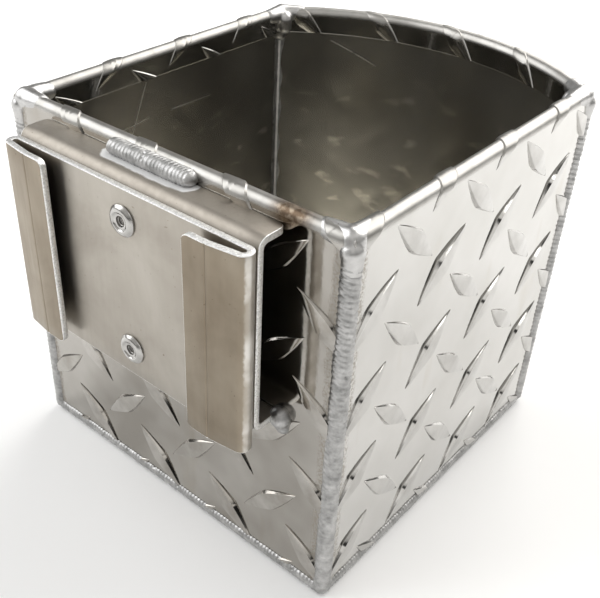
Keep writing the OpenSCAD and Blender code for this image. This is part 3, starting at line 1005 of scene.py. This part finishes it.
def lug_material(name, dark, light):
    """The raised lugs: a little rougher than the sheet, in colours set per wall as painted shade, and dull on
    the rim.
    """
    n = Metal(name)
    rim = n.rim()
    colour = n.mottle((130, 3.0, 0.6), dark, light, 0.35, 0.65)
    rough = n.mottle((90, 3.0, 0.5), 0.07, 0.16)
    n.bump(n.noise(260, 3.0, 0.5), 0.12, 0.0004)
    return n.finish(n.blend("MIX", rim, colour, (0.36, 0.35, 0.33)), n.blend("MIX", rim, rough, grey(0.36)))


INSIDE_X = -HALF_W + SHEET_T
# Long scratches inside the left wall, and one in two stretches inside the bowed wall
SCRATCHES = [
    ((INSIDE_X, -12.9, 113.7), (INSIDE_X, -21, 96.1)),
    ((INSIDE_X, -2.4, 100.6), (INSIDE_X, 19.2, 100.4)),
    ((INSIDE_X, -26.6, 99.3), (INSIDE_X, -11.8, 100.7)),
    ((-46, 68.9, 112.6), (-37.4, 73.3, 108.4)),
    ((-37.4, 73.3, 108.4), (-28.4, 76.8, 104.2)),
]


def inner_material(name, dark, light):
    """The tread sheet's smooth back: a soft reflection with blurred bright flecks painted in as reflections of
    the lugs, and a few long fine scratches.
    """
    n = Metal(name)
    colour = n.between(n.noise(16, 2.0, 0.5, distort=0.3), dark, light)
    mid_height = n.ramp(n.height(), [(0.14, 0.0), (0.26, 1.0), (0.62, 1.0), (0.86, 0.0)])
    # Blurred near-white flecks at mid height: painted reflections of the lugs.
    painted_reflections = n.mottle((95, 2.0, 0.4, n.stretch((1, 1, 1.9), (0, 35, 35))), 0.0, 0.95, 0.60, 0.72)
    colour = n.blend("MIX", n.math("MULTIPLY", painted_reflections, mid_height), colour, (0.97, 0.94, 0.85))
    marks = n.line(*SCRATCHES[0])
    for scratch in SCRATCHES[1:]:
        marks = n.math("MAXIMUM", marks, n.line(*scratch))
    colour = n.blend("MIX", n.math("MULTIPLY", marks, 0.55), colour, (0.95, 0.93, 0.88))
    patches = n.mottle((34, 2.0, 0.5), 0.20, 0.27)
    n.bump(n.noise(90, 2.0, 0.5), 0.10, 0.0006)
    return n.finish(colour, n.blend("ADD", n.math("MULTIPLY", marks, 0.25), patches, grey(1.0)))


def mill_material(name):
    """Plain mill finish: warm grey, faint grain, stains and specks; gives its nodes, colour and roughness."""
    n = Metal(name)
    stains = [(0.3, (0.34, 0.31, 0.27)), (0.55, (0.42, 0.39, 0.345)), (0.75, (0.47, 0.44, 0.395))]
    colour = n.ramp(n.noise(32, 4.0, 0.6, distort=0.6), stains)
    specks = n.mottle((900, 2.0, 0.5), 0.0, 0.8, 0.72, 0.78)
    grain = n.noise(700, 4.0, 0.6, n.stretch((1, 1, 0.06)))
    n.bump(grain, 0.06)
    return n, n.blend("MIX", specks, colour, (0.22, 0.19, 0.15)), n.between(grain, 0.30, 0.42)


def clip_material():
    """The clip: browner and darker on its rolled legs and lips, and lighter along its side bends, partly rubbed
    wear and partly a painted highlight.
    """
    n, colour, rough = mill_material("clip_mill")
    out = n.math("DIVIDE", n.math("SUBTRACT", CLIP_FACE_Y * MM, n.axis("Y")), 10 * MM)
    rolled = n.ramp(out, [(0.06, 0.0), (0.3, 1.0)])
    # Lighter along the bends at the clip's sides: partly rubbed wear, partly a painted highlight.
    aside = n.math("ABSOLUTE", n.math("SUBTRACT", n.axis("X"), BRACKET_X * MM))
    wobble = n.math("MULTIPLY", n.noise(500, 3.0, 0.6), 0.02)
    side = n.ramp(n.math("ADD", n.math("DIVIDE", aside, CLIP_HALF_W * MM), wobble), [(0.992, 0.0), (1.0, 1.0)])
    worn_and_highlit = n.math("MULTIPLY", side, n.mottle((70, 3.0, 0.6), 0.12, 0.62, 0.42, 0.56))
    cloud = n.mottle((60, 4.0, 0.6, n.stretch((1, 1, 0.4))), (0.56, 0.50, 0.42), (0.80, 0.75, 0.67))
    colour = n.blend("MULTIPLY", rolled, colour, cloud)
    return n.finish(n.blend("MIX", worn_and_highlit, colour, (0.82, 0.81, 0.78)), rough)


def channel_material():
    """The stand-off channel: dull, with a pale etched halo in front of the weld on its top."""
    n, colour, rough = mill_material("channel_mill")
    x0, x1 = span("channel_top_weld", "x")
    aside = n.math("ABSOLUTE", n.math("SUBTRACT", n.axis("X"), (x0 + x1) / 2 * MM))
    past = n.math("MAXIMUM", n.math("SUBTRACT", aside, ((x1 - x0) / 2 - 3) * MM))
    before = n.math("SUBTRACT", (FRONT_Y - 2.0) * MM, n.axis("Y"))
    squares = n.math("ADD", n.math("MULTIPLY", past, past), n.math("MULTIPLY", before, before))
    wobble = n.math("MULTIPLY", n.noise(160, 4.0, 0.6), 0.25)
    ragged = n.math("ADD", n.math("DIVIDE", n.math("SQRT", squares), 10 * MM), wobble)
    top = n.ramp(n.height(), [(0.93, 0.0), (0.945, 1.0)])
    halo = n.math("MULTIPLY", n.ramp(ragged, [(0.50, 1.0), (0.56, 0.0)]), top)
    darker = n.blend("MULTIPLY", 1.0, colour, (0.78, 0.77, 0.76))
    dull = n.blend("ADD", 1.0, rough, grey(0.14))
    return n.finish(n.blend("MIX", halo, darker, grey(0.80)), n.blend("MIX", halo, dull, grey(0.75)))


def edge_material():
    """Freshly cut sheet edge: bright and sparkly."""
    n = Metal("cut_edge")
    grit = n.noise(1600, 3.0, 0.7)
    n.bump(grit, 0.7)
    colour = n.between(grit, (0.66, 0.66, 0.65), (0.97, 0.97, 0.96), 0.35, 0.6)
    return n.finish(colour, n.between(grit, 0.5, 0.25))


def weld_material(name, colours, roughs, strength, metallic=1.0):
    """Weld metal: cloudy, gritty and uneven."""
    n = Metal(name, metallic)
    cloud, grit = n.noise(260, 5.0, 0.65), n.noise(1500, 3.0, 0.6)
    n.bump(n.blend("ADD", 0.5, cloud, grit), strength)
    return n.finish(n.between(cloud, *colours), n.between(grit, *roughs))


def rivet_material():
    """The rivets' satin bodies."""
    n = Metal("rivet_satin")
    cloud = n.noise(400, 3.0, 0.5)
    n.bump(cloud, 0.04)
    colour = n.between(cloud, (0.42, 0.41, 0.395), (0.54, 0.53, 0.51))
    return n.finish(colour, n.mottle((700, 2.0, 0.5), 0.16, 0.24))


def steel_material():
    """The rivets' darker broken stems."""
    n = Metal("stem_steel")
    cloud = n.noise(900, 4.0, 0.6)
    n.bump(cloud, 0.3)
    return n.finish(n.between(cloud, (0.12, 0.115, 0.11), (0.3, 0.29, 0.28)), n.between(cloud, 0.3, 0.5))


tread = tread_material("bright_tread", (0.58, 0.57, 0.545), (0.66, 0.65, 0.63))
# The bracket wall's tread and lugs are darker copies with the same roughness: painted shade for the shadowed
# floor that this wall mirrors.
shaded_tread = tread_material("shaded_tread", (0.30, 0.28, 0.25), (0.44, 0.42, 0.39))
# Lugs coloured darker than the bright tread around them: painted shade.
lug = lug_material("shaded_bright_lug", (0.48, 0.47, 0.45), (0.60, 0.59, 0.57))
shaded_lug = lug_material("shaded_lug", (0.34, 0.32, 0.29), (0.48, 0.46, 0.43))
inner = inner_material("smooth_inside", (0.50, 0.485, 0.445), (0.58, 0.565, 0.525))
# A lighter copy of the smooth inside for the left wall: painted light.
lit_inner = inner_material("lit_inside", (0.53, 0.51, 0.47), (0.61, 0.59, 0.545))
clip_mill = clip_material()
channel_mill = channel_material()
cut_edge = edge_material()
weld = weld_material("weld_bead", ((0.27, 0.27, 0.265), (0.58, 0.575, 0.57)), (0.34, 0.52), 0.6)
seam_skin = weld_material("weld_seam", ((0.70, 0.69, 0.67), (0.95, 0.94, 0.92)), (0.5, 0.7), 0.4, metallic=0.45)
weld_blob = weld_material("weld_blob", ((0.46, 0.455, 0.45), (0.60, 0.595, 0.585)), (0.27, 0.40), 0.25)
rivet = rivet_material()
steel = steel_material()

# -------- stage


def floor_stage():
    """A large plain pale floor, a hair below the object."""
    size, drop = 6.0, 0.0002
    mesh = bpy.data.meshes.new("floor")
    corners = [(-size, -size, 0), (size, -size, 0), (size, size, 0), (-size, size, 0)]
    mesh.from_pydata(corners, [], [(0, 1, 2, 3)])
    made = add_object("floor", mesh)
    made.location.z = CAD_BOX[0].z - drop
    n = Metal("pale_floor", metallic=0.0)
    mesh.materials.append(n.finish(n.mottle((3, 2.0, 0.5), 0.92, 0.95), 0.9))


def area_light(name, place, size, power, colour):
    """A soft light that faces the object."""
    target = (0, 0, 0.05)
    data = bpy.data.lights.new(name, "AREA")
    data.shape = "RECTANGLE"
    data.size, data.size_y = size
    data.energy = power
    data.color = colour
    made = add_object(name, data)
    made.location = place
    made.rotation_mode = "QUATERNION"
    made.rotation_quaternion = (Vector(target) - Vector(place)).to_track_quat("-Z", "Y")


# Brightness of the studio by the height of a direction, from the horizon to straight up
SKY = [(0.0, 0.6), (0.02, 0.10), (0.13, 0.10), (0.21, 0.5), (0.45, 0.6), (0.75, 0.66), (1.0, 0.62)]
# Cards that the metal mirrors: direction, half width and soft edge in degrees, brightness
CARDS = [
    ((-0.54, 0.61, 0.57), 30, 18, 0.25),
    ((0.68, -0.64, 0.35), 9, 3, 1.1),
    ((0.60, -0.12, 0.79), 8, 4, 1.1),
    ((0.28, -0.54, 0.79), 12, 6, 1.0),
    ((0.69, -0.42, 0.59), 6, 2, 0.02),
    ((0.86, -0.48, 0.19), 9, 2, 0.02),
    ((0.6, 0.22, 0.77), 7, 2, 0.03),
    ((0.58, 0.065, 0.812), 3.6, 1.2, 5.0),
]


def warm(level, blue=0.955):
    return (level, level * 0.985, level * blue)


def world_light():
    """A soft studio with dark and bright cards, which the camera sees as a plain pale backdrop."""
    world = bpy.data.worlds.new("studio")
    bpy.context.scene.world = world
    world.use_nodes = True
    n = Nodes(world.node_tree, "Generated")
    colour = n.ramp(n.axis("Z"), [(at, warm(level)) for at, level in SKY])
    for way, wide, soft, level in CARDS:
        inside, outside = math.cos(math.radians(wide)), math.cos(math.radians(wide + soft))
        dot = n.vector("DOT_PRODUCT", n.place, Vector(way).normalized(), "Value")
        card = n.ramp(dot, [(outside, warm(0.0)), (inside, warm(1.0))])
        colour = n.blend("MIX", card, colour, warm(level, 0.96))
    seen = n.add("LightPath").outputs["Is Camera Ray"]
    n.link(n.blend("MIX", seen, colour, (0.9, 0.9, 0.89)), n.tree.nodes["Background"].inputs["Color"])


def camera():
    """The camera: at the corner between the bracket wall and the right wall, looking down into the box."""
    data = bpy.data.cameras.new("camera")
    data.lens = 52.43
    data.sensor_width = 36.0
    data.shift_x = 0.0857
    data.shift_y = 0.0069
    data.clip_start = 0.01
    made = add_object("camera", data)
    forward = Vector((-0.5439, 0.6134, -0.5727)).normalized()
    up = Vector((-0.3919, 0.4179, 0.8197))
    right = forward.cross(up).normalized()
    up = right.cross(forward)
    turn = Matrix((right, up, -forward)).transposed().to_4x4()
    made.matrix_world = Matrix.Translation((0.1558, -0.2041, 0.2231)) @ turn
    bpy.context.scene.camera = made


# -------- build

camera()
front_wall, right_wall, left_wall, curved_wall = all_walls()
wall_piece("bracket_wall", front_wall, FRONT_LUGS, 11, (shaded_tread, inner, shaded_lug))
wall_piece("right_wall", right_wall, RIGHT_LUGS, 12, (tread, inner, lug))
wall_piece("left_wall", left_wall, LEFT_LUGS, 13, (tread, lit_inner, lug), HIGH_CROWN)
wall_piece("curved_wall", curved_wall, CURVED_LUGS, 14, (tread, inner, lug), HIGH_CROWN)
floor_piece()
for number, where in enumerate(("front_left", "front_right", "back_left", "back_right")):
    corner_bead(where, 20 + number)
    rim_cap(where, 60 + number)
floor_beads()
top_weld()
tack("left", 91)
tack("right", 92)
channel()
clip()
rivets()
floor_stage()
world_light()
area_light("key", (0.15, 1.35, 1.15), (2.0, 1.8), 36, (1, 0.985, 0.96))
area_light("fill", (-1.3, -0.7, 1.1), (1.8, 1.8), 26, (0.98, 0.99, 1))
bpy.context.scene.view_settings.view_transform = "Standard"
